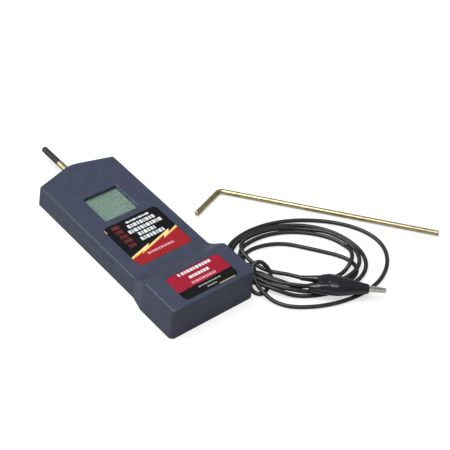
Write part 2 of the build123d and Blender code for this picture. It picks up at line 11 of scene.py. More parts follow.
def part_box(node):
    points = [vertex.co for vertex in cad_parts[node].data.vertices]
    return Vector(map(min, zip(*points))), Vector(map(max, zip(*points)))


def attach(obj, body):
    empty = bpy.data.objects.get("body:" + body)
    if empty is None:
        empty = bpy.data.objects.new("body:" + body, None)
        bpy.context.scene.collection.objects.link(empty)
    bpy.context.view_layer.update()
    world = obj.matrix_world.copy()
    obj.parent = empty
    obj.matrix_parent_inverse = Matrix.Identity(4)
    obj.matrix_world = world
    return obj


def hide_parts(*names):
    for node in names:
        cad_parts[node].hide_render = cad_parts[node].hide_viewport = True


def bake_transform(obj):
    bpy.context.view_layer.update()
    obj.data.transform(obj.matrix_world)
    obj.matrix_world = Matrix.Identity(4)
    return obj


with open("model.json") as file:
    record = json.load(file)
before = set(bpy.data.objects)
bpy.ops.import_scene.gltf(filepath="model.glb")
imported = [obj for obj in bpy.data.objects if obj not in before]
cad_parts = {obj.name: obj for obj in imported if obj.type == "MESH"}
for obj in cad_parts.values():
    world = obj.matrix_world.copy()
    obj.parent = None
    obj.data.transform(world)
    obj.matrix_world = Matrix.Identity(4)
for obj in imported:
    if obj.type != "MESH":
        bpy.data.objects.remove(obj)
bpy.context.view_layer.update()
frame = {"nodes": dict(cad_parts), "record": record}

# A handheld fence tester with its clip lead and ground rod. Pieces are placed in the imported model's
# frame, which is in metres. Lists of points, rings and outlines are in millimetres.

MM = 0.001                    # metres
nodes = frame["nodes"]


# ---- camera, light and floor ---------------------------------------------------------------------

CAMERA_SPOT = Vector((-0.46015, -0.52392, 0.66065))
CAMERA_AZIMUTH = math.radians(-46.09)
CAMERA_ELEVATION = math.radians(42.09)
CAMERA_ROLL = math.radians(-8.85)
CAMERA_LENS = 108.84          # millimetres
CAMERA_CLIP_START = 0.01
STUDIO_DIM = 0.22             # the walls' brightness as the object sees them; the camera sees white
STUDIO_AIM = Vector((0.05, -0.02, 0))
# Each lamp: its name, place, side in metres, watts and colour.
SOFTBOXES = [
    ("overhead", (-0.4, 0.05, 1.4), 1.4, 25.0, (0.97, 0.98, 1.0)),
    ("back_left", (-1.0, 0.8, 0.7), 0.5, 5.0, (0.9, 0.94, 1.0)),
    ("left_edge", (-0.2, 0.75, 1.15), 0.25, 0.8, (1.0, 1.0, 1.0)),
]
FLOOR_SIZE = 6                # metres
FLOOR_DROP = 0.2 * MM         # keeps the floor's face apart from the flat back that rests on it
FLOOR_ALBEDO = 0.45
FLOOR_ROUGHNESS = 0.9
FLOOR_SPECULAR = 0.1
FLOOR_GLOW_SEEN = 0.62        # what lifts the floor to white for the camera; it lights nothing


def make_camera():
    """The camera looks down on the tester from its near left side, a little tilted."""
    level = math.cos(CAMERA_ELEVATION)
    ahead = Vector((-math.sin(CAMERA_AZIMUTH) * level, math.cos(CAMERA_AZIMUTH) * level,
                    -math.sin(CAMERA_ELEVATION)))
    right = ahead.cross(Vector((0, 0, 1))).normalized()
    down = ahead.cross(right)
    tilted_right = math.cos(CAMERA_ROLL) * right + math.sin(CAMERA_ROLL) * down
    tilted_down = -math.sin(CAMERA_ROLL) * right + math.cos(CAMERA_ROLL) * down
    turn = Matrix((tilted_right, -tilted_down, -ahead)).transposed()
    data = bpy.data.cameras.new("camera")
    data.lens = CAMERA_LENS
    data.clip_start = CAMERA_CLIP_START
    camera = bpy.data.objects.new("camera", data)
    camera.matrix_world = Matrix.Translation(CAMERA_SPOT) @ turn.to_4x4()
    bpy.context.scene.collection.objects.link(camera)
    bpy.context.scene.camera = camera


def add_softbox(name, spot, size, power, colour):
    """A square lamp that points at the tester; clear pieces don't show it by refraction."""
    data = bpy.data.lights.new(name, "AREA")
    data.shape = "SQUARE"
    data.size = size
    data.energy = power
    data.color = colour
    lamp = bpy.data.objects.new(name, data)
    lamp.location = spot
    lamp.visible_transmission = False
    lamp.rotation_euler = (STUDIO_AIM - Vector(spot)).to_track_quat("-Z", "Y").to_euler()
    bpy.context.scene.collection.objects.link(lamp)


def make_studio():
    """Dim light from all round, and the softboxes."""
    scene = bpy.context.scene
    scene.view_settings.view_transform = "Standard"
    world = bpy.data.worlds.new("studio")
    world.use_nodes = True
    background = world.node_tree.nodes["Background"]
    background.inputs["Color"].default_value = (1, 1, 1, 1)
    rays = world.node_tree.nodes.new("ShaderNodeLightPath")
    strength = world.node_tree.nodes.new("ShaderNodeMapRange")
    strength.inputs["To Min"].default_value = STUDIO_DIM
    world.node_tree.links.new(rays.outputs["Is Camera Ray"], strength.inputs["Value"])
    world.node_tree.links.new(strength.outputs["Result"], background.inputs["Strength"])
    scene.world = world
    for name, spot, size, power, colour in SOFTBOXES:
        add_softbox(name, spot, size, power, colour)


def make_floor():
    """A pale floor that takes soft shadows and reads as white."""
    bpy.ops.mesh.primitive_plane_add(size=FLOOR_SIZE)
    floor = bpy.context.object
    floor.name = "floor"
    floor.location.z = -FLOOR_DROP
    material = bpy.data.materials.new("floor")
    material.use_nodes = True
    bsdf = material.node_tree.nodes["Principled BSDF"]
    bsdf.inputs["Base Color"].default_value = (FLOOR_ALBEDO, FLOOR_ALBEDO, FLOOR_ALBEDO, 1)
    bsdf.inputs["Roughness"].default_value = FLOOR_ROUGHNESS
    bsdf.inputs["Specular IOR Level"].default_value = FLOOR_SPECULAR
    bsdf.inputs["Emission Color"].default_value = (1, 1, 1, 1)
    rays = material.node_tree.nodes.new("ShaderNodeLightPath")
    glow = material.node_tree.nodes.new("ShaderNodeMapRange")
    glow.inputs["To Max"].default_value = FLOOR_GLOW_SEEN
    material.node_tree.links.new(rays.outputs["Is Camera Ray"], glow.inputs["Value"])
    material.node_tree.links.new(glow.outputs["Result"], bsdf.inputs["Emission Strength"])
    floor.data.materials.append(material)


make_camera()
make_studio()
make_floor()


# ---- materials -----------------------------------------------------------------------------------

MIX_FIRST, MIX_SECOND, MIX_RESULT = 6, 7, 2   # a Mix node's colour sockets, which share their names
NOISE_LOW, NOISE_HIGH = 0.3, 0.7              # the range that most of a noise's values lie in

METAL_MARK = 0.25             # millimetres, as the next ones are
METAL_MARK_DEPTH = 0.004
METAL_PATCH = 5.0
CHIP_MIDDLE = 3.0             # the chip's centre in X and in Y, in the tester's frame
CHIP_HALF = 6.03              # past this from the centre are its legs
RESISTOR_MIDDLE = -13.0       # the resistors' centre in X
RESISTOR_HALF = 4.53          # past this from the centre are their leads
RESISTOR_CAP = 1.0            # the end of a body that has no colour bands
RESISTOR_BAND_PITCH = 1.8
PAD_PITCH = 3.4
BATTERY_END = 19.42           # past this in X are the battery's terminals
BATTERY_BAND = -9.0
BATTERY_BAND_HALF = 6.0

TIN = (0.62, 0.62, 0.60)


class Look:
    """A Principled material with procedural detail, in the object's own coordinates."""

    def __init__(self, name, colour, roughness, **plain):
        self.material = bpy.data.materials.new(name)
        self.material.use_nodes = True
        self.tree = self.material.node_tree
        self.shader = self.tree.nodes["Principled BSDF"]
        self.shader.inputs["Base Color"].default_value = (*colour, 1)
        self.shader.inputs["Roughness"].default_value = roughness
        for socket, value in plain.items():
            self.shader.inputs[socket.replace("_", " ")].default_value = value
        self.place = self.tree.nodes.new("ShaderNodeTexCoord").outputs["Object"]

    def node(self, kind, **settings):
        """A new node with the given settings."""
        made = self.tree.nodes.new(kind)
        for key, value in settings.items():
            setattr(made, key, value)
        return made

    def link(self, source, target):
        self.tree.links.new(source, target)

    def stretched(self, scale):
        """The object's coordinates, scaled along each axis."""
        mapping = self.node("ShaderNodeMapping", vector_type="POINT")
        mapping.inputs["Scale"].default_value = scale
        self.link(self.place, mapping.inputs["Vector"])
        return mapping.outputs["Vector"]

    def noise(self, size_mm, detail=2.0, scale=(1, 1, 1)):
        """Smooth noise whose blotches are about size_mm across."""
        made = self.node("ShaderNodeTexNoise")
        made.inputs["Scale"].default_value = 1 / (size_mm * MM)
        made.inputs["Detail"].default_value = detail
        self.link(self.stretched(scale), made.inputs["Vector"])
        return made.outputs["Fac"]

    def ramp(self, factor, low, high, out_low=0.0, out_high=1.0):
        """Factor's range from low to high, spread from out_low to out_high and held at both ends."""
        made = self.node("ShaderNodeMapRange")
        made.inputs["From Min"].default_value = low
        made.inputs["From Max"].default_value = high
        made.inputs["To Min"].default_value = out_low
        made.inputs["To Max"].default_value = out_high
        self.link(factor, made.inputs["Value"])
        return made.outputs["Result"]

    def mix(self, factor, first, second):
        """A colour between first and second; each is three numbers or a socket."""
        made = self.node("ShaderNodeMix", data_type="RGBA")
        self.link(factor, made.inputs["Factor"])
        for socket, value in ((made.inputs[MIX_FIRST], first), (made.inputs[MIX_SECOND], second)):
            if isinstance(value, bpy.types.NodeSocket):
                self.link(value, socket)
            else:
                socket.default_value = (*value, 1)
        return made.outputs[MIX_RESULT]

    def colour(self, socket):
        """Take the surface's colour from a socket."""
        self.link(socket, self.shader.inputs["Base Color"])

    def vary_roughness(self, factor, low, high):
        """Take the roughness from a noise, between low and high."""
        self.link(self.ramp(factor, NOISE_LOW, NOISE_HIGH, low, high), self.shader.inputs["Roughness"])

    def bump(self, height, depth_mm, strength=1.0):
        """Raise the surface by up to depth_mm where height is 1, on top of any earlier bump."""
        made = self.node("ShaderNodeBump")
        made.inputs["Distance"].default_value = depth_mm * MM
        made.inputs["Strength"].default_value = strength
        self.link(height, made.inputs["Height"])
        normal = self.shader.inputs["Normal"]
        if normal.is_linked:
            self.link(normal.links[0].from_socket, made.inputs["Normal"])
        self.link(made.outputs["Normal"], normal)

    def maths(self, operation, first, second=None):
        """One Math node; each input is a number or a socket."""
        made = self.node("ShaderNodeMath", operation=operation)
        for socket, value in zip(made.inputs, (first, second)):
            if isinstance(value, bpy.types.NodeSocket):
                self.link(value, socket)
            elif value is not None:
                socket.default_value = value
        return made.outputs[0]

    def beyond(self, axis, middle_mm, reach_mm):
        """1 where one coordinate is further than reach_mm from middle_mm, and 0 elsewhere."""
        offset = self.maths("ABSOLUTE", self.maths("SUBTRACT", self.along(axis), middle_mm * MM))
        return self.maths("GREATER_THAN", offset, reach_mm * MM)

    def stripes(self, axis, pitch_mm, share):
        """1 on stripes across one axis that take up a share of each pitch, and 0 between them."""
        steps = self.maths("FRACT", self.maths("MULTIPLY", self.along(axis), 1 / (pitch_mm * MM)))
        return self.maths("LESS_THAN", steps, share)

    def metallic(self, factor):
        """Metal where factor is 1."""
        self.link(factor, self.shader.inputs["Metallic"])

    def along(self, axis):
        """One of the object's coordinates, in metres: 0, 1 or 2."""
        made = self.node("ShaderNodeSeparateXYZ")
        self.link(self.place, made.inputs["Vector"])
        return made.outputs[axis]


def mottled(name, colour, roughness, spread=0.15, blotch_mm=6.0, grain_mm=0.35, grain_depth_mm=0.01,
            **plain):
    """A moulded surface: gently uneven colour and gloss, and a fine grain."""
    look = Look(name, colour, roughness, **plain)
    darker = [c * (1 - spread) for c in colour]
    lighter = [c * (1 + spread) for c in colour]
    patches = look.noise(blotch_mm, 4.0)
    look.colour(look.mix(look.ramp(patches, 0.35, 0.65), darker, lighter))
    look.vary_roughness(look.noise(blotch_mm * 0.4, 3.0), roughness - 0.05, roughness + 0.05)
    if grain_depth_mm:
        look.bump(look.noise(grain_mm, 3.0), grain_depth_mm, 0.5)
    return look.material


def metal(name, colour, roughness, dull=None):
    """A metal with fine handling marks and duller patches."""
    look = Look(name, colour, roughness, Metallic=1.0)
    dull = dull or [c * 0.75 for c in colour]
    look.colour(look.mix(look.ramp(look.noise(METAL_PATCH, 5.0), 0.42, 0.68), colour, dull))
    marks = look.noise(METAL_MARK)
    look.vary_roughness(marks, roughness - 0.06, roughness + 0.1)
    look.bump(marks, METAL_MARK_DEPTH, 0.4)
    return look.material


def striped(name, colour, stripe, axis, pitch_mm, share, roughness):
    """Two colours in turn along one axis, each a little uneven."""
    look = Look(name, colour, roughness)
    uneven = look.ramp(look.noise(1.2, 3.0), NOISE_LOW, NOISE_HIGH)
    plain = look.mix(uneven, [c * 0.85 for c in colour], colour)
    marked = look.mix(uneven, [c * 0.8 for c in stripe], stripe)
    look.colour(look.mix(look.stripes(axis, pitch_mm, share), plain, marked))
    look.bump(look.noise(0.4, 2.0), 0.01, 0.5)
    return look.material


def chip_look():
    """A matt moulded body, with tinned legs outside it."""
    look = Look("chip_black", (0.02, 0.02, 0.02), 0.5)
    legs = look.maths("MAXIMUM",
                      look.beyond(0, CHIP_MIDDLE, CHIP_HALF),
                      look.beyond(1, CHIP_MIDDLE, CHIP_HALF))
    body = look.mix(look.noise(0.8, 4.0), (0.014, 0.014, 0.015), (0.03, 0.03, 0.031))
    look.colour(look.mix(legs, body, TIN))
    look.metallic(legs)
    look.bump(look.noise(0.25, 2.0), 0.01, 0.6)
    return look.material


def board_look():
    """Solder mask over copper tracks, with tinned pads."""
    look = Look("board_green", (0.015, 0.13, 0.05), 0.28)
    tracks = look.maths("MAXIMUM",
                        look.ramp(look.noise(2.2, 0.0, (1.0, 0.12, 1.0)), 0.56, 0.58),
                        look.ramp(look.noise(2.6, 0.0, (0.12, 1.0, 1.0)), 0.58, 0.60))
    cells = look.node("ShaderNodeTexVoronoi", distance="EUCLIDEAN")
    cells.inputs["Scale"].default_value = 1 / (PAD_PITCH * MM)
    look.link(look.place, cells.inputs["Vector"])
    pads = look.maths("LESS_THAN", cells.outputs["Distance"], 0.2)
    mask = look.mix(tracks, (0.010, 0.095, 0.035), (0.022, 0.19, 0.07))
    look.colour(look.mix(pads, mask, (0.66, 0.66, 0.62)))
    look.metallic(pads)
    look.bump(tracks, 0.03, 0.6)
    return look.material


def resistor_look():
    """A lacquered body with colour bands, and tinned leads past its ends."""
    look = Look("resistor_body", (0.1, 0.3, 0.5), 0.25)
    leads = look.beyond(0, RESISTOR_MIDDLE, RESISTOR_HALF)
    bands = look.maths("SUBTRACT",
                       look.stripes(0, RESISTOR_BAND_PITCH, 0.35),
                       look.beyond(0, RESISTOR_MIDDLE, RESISTOR_HALF - RESISTOR_CAP))
    body = look.mix(look.noise(0.9, 3.0), (0.08, 0.25, 0.42), (0.13, 0.36, 0.58))
    look.colour(look.mix(leads, look.mix(bands, body, (0.35, 0.08, 0.03)), (0.64, 0.64, 0.6)))
    look.metallic(leads)
    look.bump(look.noise(0.7, 2.0), 0.01, 0.5)
    return look.material


def battery_look():
    """A wrapped steel can: dark wrap, a pale band, and bare terminals past its end."""
    look = Look("battery_shell", (0.03, 0.035, 0.05), 0.3)
    terminals = look.maths("GREATER_THAN", look.along(0), BATTERY_END * MM)
    band = look.beyond(0, BATTERY_BAND, BATTERY_BAND_HALF)
    scuffs = look.ramp(look.noise(3.0, 6.0), 0.62, 0.72)
    wrap = look.mix(band, (0.52, 0.53, 0.55), (0.03, 0.036, 0.055))
    worn = look.mix(scuffs, wrap, (0.16, 0.16, 0.17))
    look.colour(look.mix(terminals, worn, (0.66, 0.65, 0.6)))
    look.metallic(terminals)
    look.vary_roughness(look.noise(2.0, 3.0), 0.24, 0.36)
    look.bump(look.noise(1.4, 3.0), 0.02, 0.4)
    return look.material


def make_materials():
    """One material for each of the record's slots, and one for each printing ink."""
    made = {}
    made["case_plastic"] = mottled("case_plastic", (0.041, 0.050, 0.083), 0.42, spread=0.08,
                                   blotch_mm=9.0, grain_mm=0.32, grain_depth_mm=0.02)
    made["clear_window"] = Look("clear_window", (0.97, 1.0, 0.98), 0.03, Transmission_Weight=1.0,
                                IOR=1.49).material
    made["lcd"] = mottled("lcd", (0.118, 0.180, 0.145), 0.5, spread=0.02, blotch_mm=12.0, grain_mm=0.2,
                          grain_depth_mm=0.0)
    made["label_print"] = mottled("label_print", (0.006, 0.006, 0.007), 0.36, spread=0.2, grain_mm=0.6,
                                  grain_depth_mm=0.004, Specular_IOR_Level=0.2)
    made["ink_red"] = mottled("ink_red", (0.32, 0.010, 0.016), 0.32, spread=0.06, grain_depth_mm=0.002)
    made["ink_crimson"] = mottled("ink_crimson", (0.33, 0.006, 0.025), 0.32, spread=0.06,
                                  grain_depth_mm=0.002)
    made["ink_white"] = mottled("ink_white", (0.74, 0.76, 0.76), 0.35, spread=0.05, grain_depth_mm=0.002)
    made["ink_rose"] = mottled("ink_rose", (0.72, 0.36, 0.40), 0.35, spread=0.08, grain_depth_mm=0.002)
    made["ink_maroon"] = mottled("ink_maroon", (0.11, 0.012, 0.016), 0.35, spread=0.2,
                                 grain_depth_mm=0.002)
    made["ink_orange"] = mottled("ink_orange", (0.85, 0.26, 0.03), 0.35, spread=0.1, grain_depth_mm=0.002)
    made["ink_yellow"] = mottled("ink_yellow", (0.95, 0.72, 0.30), 0.35, spread=0.05, grain_depth_mm=0.002)
    made["ink_gold"] = mottled("ink_gold", (0.55, 0.45, 0.24), 0.3, spread=0.1, grain_depth_mm=0.002)
    made["ink_grey"] = mottled("ink_grey", (0.30, 0.33, 0.30), 0.35, spread=0.1, grain_depth_mm=0.002)
    made["brass"] = metal("brass", (0.66, 0.58, 0.34), 0.3, dull=(0.48, 0.40, 0.19))
    made["black_plastic"] = mottled("black_plastic", (0.022, 0.021, 0.023), 0.38, spread=0.2,
                                    blotch_mm=3.0, grain_mm=0.25)
    made["cord_black"] = mottled("cord_black", (0.024, 0.024, 0.024), 0.34, spread=0.25, blotch_mm=4.0,
                                 grain_mm=0.3, grain_depth_mm=0.008)
    made["vinyl_black"] = mottled("vinyl_black", (0.010, 0.011, 0.014), 0.2, spread=0.2, blotch_mm=5.0,
                                  grain_mm=1.6, grain_depth_mm=0.008, Coat_Weight=0.5, Coat_Roughness=0.14)
    made["nickel"] = metal("nickel", (0.80, 0.79, 0.72), 0.46, dull=(0.62, 0.61, 0.54))
    made["steel"] = metal("steel", (0.58, 0.58, 0.57), 0.3)
    made["board_green"] = board_look()
    made["chip_black"] = chip_look()
    made["resistor_body"] = resistor_look()
    made["capacitor_can"] = mottled("capacitor_can", (0.05, 0.06, 0.12), 0.3)
    made["trimmer_blue"] = mottled("trimmer_blue", (0.03, 0.12, 0.5), 0.35)
    made["holder_white"] = mottled("holder_white", (0.7, 0.7, 0.68), 0.5, spread=0.05)
    made["zebra_rubber"] = striped("zebra_rubber", (0.45, 0.42, 0.38), (0.02, 0.02, 0.02), axis=0,
                                   pitch_mm=0.5, share=0.45, roughness=0.6)
    made["battery_shell"] = battery_look()
    made["foam"] = mottled("foam", (0.05, 0.05, 0.052), 0.9, spread=0.3, blotch_mm=1.5, grain_mm=0.8,
                           grain_depth_mm=0.3)
    made["wire_red"] = mottled("wire_red", (0.5, 0.02, 0.02), 0.35)
    made["wire_black"] = mottled("wire_black", (0.02, 0.02, 0.02), 0.35)
    return made


materials = make_materials()
slot_of = {row["node"]: row["material_slot"] for row in frame["record"]["subparts"]}
for node, piece in nodes.items():
    piece.data.materials.clear()
    piece.data.materials.append(materials[slot_of[node]])
nodes["display_window"].visible_shadow = False   # so that the clear window doesn't darken the display


# ---- ground lead ---------------------------------------------------------------------------------

CORD_DIAMETER = 3.0 * MM

# The lead leaves the base's right side, drops down beside it, runs under the coil's turns, loops back
# over them and becomes the outermost turn.
LEAD_START = [
    (41.6, -62.0, 8.0), (44.0, -62.0, 8.0), (47.6, -62.4, 8.0), (49.8, -65.6, 7.7), (48.6, -69.4, 7.1),
    (44.8, -71.4, 6.0), (40.8, -73.0, 4.4), (38.4, -76.6, 2.6), (38.2, -80.8, 1.5), (39.6, -84.4, 1.5),
    (43.0, -86.0, 1.5), (46.6, -84.8, 1.5), (50.2, -82.6, 1.5), (53.8, -80.4, 1.5), (57.0, -77.8, 2.8),
    (57.9, -74.6, 6.4), (55.8, -71.0, 10.6), (53.2, -68.6, 12.8), (49.6, -67.4, 12.6), (46.6, -68.4, 11.0),
    (44.6, -71.0, 9.2), (43.2, -74.6, 7.4), (42.1, -78.6, 5.9), (41.5, -82.6, 5.0), (41.7, -86.8, 4.2),
    (42.5, -91.4, 2.8), (44.6, -97.8, 1.6),
]
UNDER_PASS = slice(8, 15)     # the stretch that runs under the turns
FIRST_TURN = slice(24, None)  # the stretch that later turns lie on

# From the last turn, down the coil's left side, through that loop and on to the clip.
LEAD_END = [
    (67.0, -38.4, 3.6), (60.6, -41.4, 5.2), (55.8, -46.2, 5.6), (54.6, -52.2, 4.6),
    (55.4, -58.2, 3.2), (57.4, -64.2, 2.0), (60.0, -70.2, 1.7), (63.4, -76.2, 2.6),
    (66.4, -82.4, 4.8), (69.0, -89.6, 7.0), (72.0, -96.3, 8.5),
]

RING_CENTRE = (86.0, -77.0)
RING_LONG = 56.0              # the ring's half widths
RING_SHORT = 40.0
RING_TILT = math.radians(-30.0)
RING_FIRST = 210.0            # degrees round the ring where the turns start
STATION_STEP = 45.0           # degrees between the shares in TURNS
POINT_STEP = 15.0             # degrees between the lead's points
FIRST_POINT = 3               # LEAD_START ends just before this one
# How far out of the ring each turn lies at its left, lower left, bottom, lower right, right, upper right,
# top and upper left, as a share of the ring's own half widths.
TURNS = [
    (1.12, 1.12, 1.075, 1.12, 1.23, 1.115, 1.02, 0.97),
    (0.84, 0.85, 0.835, 0.86, 0.875, 0.955, 0.945, 0.91),
    (0.777, 0.775, 0.765, 0.74, 0.43, 0.38, 0.56, 0.75),
    (0.65, 0.63, 0.55, 0.64, 0.75, 0.77, 0.80, 0.80),
    (0.713, 0.705, 0.70, 0.76, 0.79, 0.86, 0.875),
]
POINTS_LAID_TOGETHER = 3
POINTS_STILL_HELD = 5         # the newest points, which the next ones don't rest on


def turn_points():
    """The turns seen from above: a wavy spiral round the ring, a point every 15 degrees."""
    share = [s for turn in TURNS for s in turn]
    points = []
    count = int((len(share) - 1) * STATION_STEP / POINT_STEP)
    for j in range(FIRST_POINT, count + 1):
        station = j * POINT_STEP / STATION_STEP
        i = int(station)
        w = station - i
        before, here, after, beyond = (share[min(max(k, 0), len(share) - 1)] for k in range(i - 1, i + 3))
        smooth = 2 * before - 5 * here + 4 * after - beyond + w * (3 * (here - after) + beyond - before)
        out = here + 0.5 * w * (after - before + w * smooth)
        angle = math.radians(RING_FIRST + j * POINT_STEP)
        x = out * RING_LONG * math.cos(angle)
        y = out * RING_SHORT * math.sin(angle)
        points.append((RING_CENTRE[0] + x * math.cos(RING_TILT) - y * math.sin(RING_TILT),
                       RING_CENTRE[1] + x * math.sin(RING_TILT) + y * math.cos(RING_TILT)))
    return points


def closely(points):
    """Points about a millimetre apart along straight runs."""
    ends = np.array(points, float)
    out = []
    for a, b in zip(ends[:-1], ends[1:]):
        count = max(1, int(np.linalg.norm(b - a)))
        out += [a + (b - a) * k / count for k in range(count)]
    return np.array(out + [ends[-1]])


def resting_height(run, laid, diameter):
    """How high a stretch of cord lies where it crosses what was laid before."""
    near = closely(run)
    gap = np.linalg.norm(near[:, None, :2] - laid[None, :, :2], axis=2)
    touching = gap < diameter
    if not touching.any():
        return diameter / 2
    height = laid[None, :, 2] + np.sqrt(np.clip(diameter ** 2 - gap ** 2, 0, None))
    return max(diameter / 2, height[touching].max())


def lay_turns():
    """Each turn rests on the floor, or on the cord that was laid before it."""
    diameter = CORD_DIAMETER / MM
    plan = turn_points()
    first = np.vstack([closely(LEAD_START[UNDER_PASS]), closely(LEAD_START[FIRST_TURN])])
    laid = closely(LEAD_START[UNDER_PASS])
    points = []
    for start in range(0, len(plan), POINTS_LAID_TOGETHER):
        for i in range(start, min(start + POINTS_LAID_TOGETHER, len(plan))):
            run = plan[max(0, i - 1):i + 2]
            points.append((*plan[i], resting_height(run, laid, diameter)))
        if len(points) > 2 * POINTS_LAID_TOGETHER:
            laid = np.vstack([first, closely(points[:-POINTS_STILL_HELD])])
    return points


def make_lead():
    """The whole lead as one smooth curve, from the case to the clip."""
    points = LEAD_START + lay_turns() + LEAD_END
    data = bpy.data.curves.new("ground_lead", "CURVE")
    data.dimensions = "3D"
    data.bevel_depth = CORD_DIAMETER / 2
    data.bevel_resolution = 5
    data.resolution_u = 8
    data.use_fill_caps = True
    spline = data.splines.new("NURBS")
    spline.points.add(len(points) - 1)
    for point, (x, y, z) in zip(spline.points, points):
        point.co = (x * MM, y * MM, z * MM, 1)
    spline.order_u = 3
    spline.use_endpoint_u = True
    lead = bpy.data.objects.new("ground_lead", data)
    bpy.context.scene.collection.objects.link(lead)
    data.materials.append(materials["cord_black"])
    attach(lead, "tester")
    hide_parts("lead_start", "lead_coil", "lead_end")
    return lead


lead = make_lead()


# ---- clip boot -----------------------------------------------------------------------------------

CLIP_TAIL = (67.4, -97.0, 8.5)
CLIP_TURN = math.radians(-42.0)
# Each ring: its place along the clip, across it and up, and its half width and half height.
BOOT_BELLY = [
    (11.0, 0.6, 0.0, 5.2, 3.2), (14.0, 0.4, 0.1, 7.6, 4.8), (19.0, 0.2, 0.3, 8.8, 5.9),
    (25.0, 0.0, 0.2, 8.4, 5.9), (32.0, 0.0, 0.0, 6.8, 5.3), (38.0, 0.0, 0.0, 5.2, 4.5),
    (43.0, 0.0, 0.0, 4.1, 3.8), (47.0, 0.0, 0.0, 3.5, 3.3),
]
BOOT_FAR_TAIL = [
    (-1.0, 4.0, 0.0, 1.9, 1.9), (4.0, 4.2, 0.0, 2.1, 2.1), (10.0, 4.4, 0.0, 2.6, 2.8),
    (16.0, 4.0, 0.0, 3.6, 4.0), (24.0, 2.4, 0.0, 4.6, 4.6),
]
BOOT_NEAR_TAIL = [
    (4.8, -4.9, 0.0, 2.2, 2.6), (8.0, -5.0, 0.2, 3.0, 3.7), (12.0, -4.8, 0.5, 3.6, 4.6),
    (18.0, -3.8, 0.3, 4.2, 5.2), (26.0, -2.0, 0.0, 4.6, 5.0),
]
# The hollows: the open nose round the jaws, and the open end of the near tail.
BOOT_MOUTH = [(42.0, 0.0, 0.0, 2.4, 2.2), (46.0, 0.0, 0.0, 2.6, 2.4), (50.0, 0.0, 0.0, 2.9, 2.7)]
BOOT_SLEEVE = [(3.0, -4.9, 0.0, 1.5, 2.1), (8.0, -5.0, 0.0, 1.7, 2.3)]
BELLY_SIDES = 48
TAIL_SIDES = 32
HOLLOW_SIDES = 24
BOOT_SQUARENESS = 2.1         # 2 is an ellipse, and more is squarer
HOLLOW_SQUARENESS = 2.3
VOXEL = 0.35 * MM
SMOOTH_ROUNDS = 26
SMOOTH_SHARE = 0.6
clip_place = (Matrix.Translation(Vector(CLIP_TAIL) * MM) @ Matrix.Rotation(CLIP_TURN, 4, "Z")
              @ Matrix.Scale(MM, 4))


def loft(rings, sides, squareness):
    """A closed form through upright superellipses, in the order of the rings."""
    mesh = bmesh.new()
    loops = []
    for u, v, w, half_width, half_height in rings:
        loop = []
        for i in range(sides):
            angle = 2 * math.pi * i / sides
            c, s = math.cos(angle), math.sin(angle)
            power = 2 / squareness
            y = v + half_width * math.copysign(abs(c) ** power, c)
            z = w + half_height * math.copysign(abs(s) ** power, s)
            loop.append(mesh.verts.new((u, y, z)))
        loops.append(loop)
    for a, b in zip(loops, loops[1:]):
        for i in range(sides):
            j = (i + 1) % sides
            mesh.faces.new((a[i], a[j], b[j], b[i]))
    mesh.faces.new(loops[0][::-1])
    mesh.faces.new(loops[-1])
    bmesh.ops.recalc_face_normals(mesh, faces=mesh.faces)
    return mesh


def object_from(mesh, name, place=Matrix.Identity(4)):
    """A new object that holds the mesh, moved to its place."""
    data = bpy.data.meshes.new(name)
    mesh.to_mesh(data)
    mesh.free()
    data.transform(place)
    made = bpy.data.objects.new(name, data)
    bpy.context.scene.collection.objects.link(made)
    return made


def apply_modifiers(piece):
    """Make the modifiers' result the piece's own mesh."""
    graph = bpy.context.evaluated_depsgraph_get()
    data = bpy.data.meshes.new_from_object(piece.evaluated_get(graph))
    old = piece.data
    piece.modifiers.clear()
    piece.data = data
    bpy.data.meshes.remove(old)


def cut(piece, tool):
    """Take the tool's form out of the piece, and the tool away."""
    knife = piece.modifiers.new("cut", "BOOLEAN")
    knife.operation = "DIFFERENCE"
    knife.object = tool
    apply_modifiers(piece)
    bpy.data.objects.remove(tool)


def make_boot():
    """A one-piece vinyl boot: a crowned belly, a tail round each handle and an open nose."""
    boot = object_from(loft(BOOT_BELLY, BELLY_SIDES, BOOT_SQUARENESS), "boot", clip_place)
    for tail in (BOOT_FAR_TAIL, BOOT_NEAR_TAIL):
        extra = object_from(loft(tail, TAIL_SIDES, BOOT_SQUARENESS), "tail", clip_place)
        with bpy.context.temp_override(active_object=boot, selected_editable_objects=[boot, extra]):
            bpy.ops.object.join()
    remesh = boot.modifiers.new("remesh", "REMESH")
    remesh.mode = "VOXEL"
    remesh.voxel_size = VOXEL
    smooth = boot.modifiers.new("smooth", "SMOOTH")
    smooth.iterations = SMOOTH_ROUNDS
    smooth.factor = SMOOTH_SHARE
    apply_modifiers(boot)
    for hollow in (BOOT_MOUTH, BOOT_SLEEVE):
        tool = object_from(loft(hollow, HOLLOW_SIDES, HOLLOW_SQUARENESS), "hollow", clip_place)
        cut(boot, tool)
    boot.data.shade_smooth()
    boot.data.materials.append(materials["vinyl_black"])
    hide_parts("clip_boot")
    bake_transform(boot)
    return boot


boot = make_boot()


# ---- strain relief and battery pad ---------------------------------------------------------------

RELIEF_SIDES = 48
SLEEVE_FROM = 36.15           # where the outer flange starts, along X
INNER_FLANGE = 1.1            # how thick each flange is
OUTER_FLANGE = 0.9
WALL_RADIUS = 2.5             # the neck through the case's wall
SLEEVE_RADIUS = 2.8           # the ribbed sleeve at the flange
TIP_RADIUS = 2.1              # and at its tip
RIB_COUNT = 3
RIB_PROUD = 0.35

PAD_CUTS = 7
PAD_SIDE_PULL = 0.012         # how far the pad's sides draw in at its top and bottom, as a share
PAD_CORNER_PULL = 0.02        # and its corners


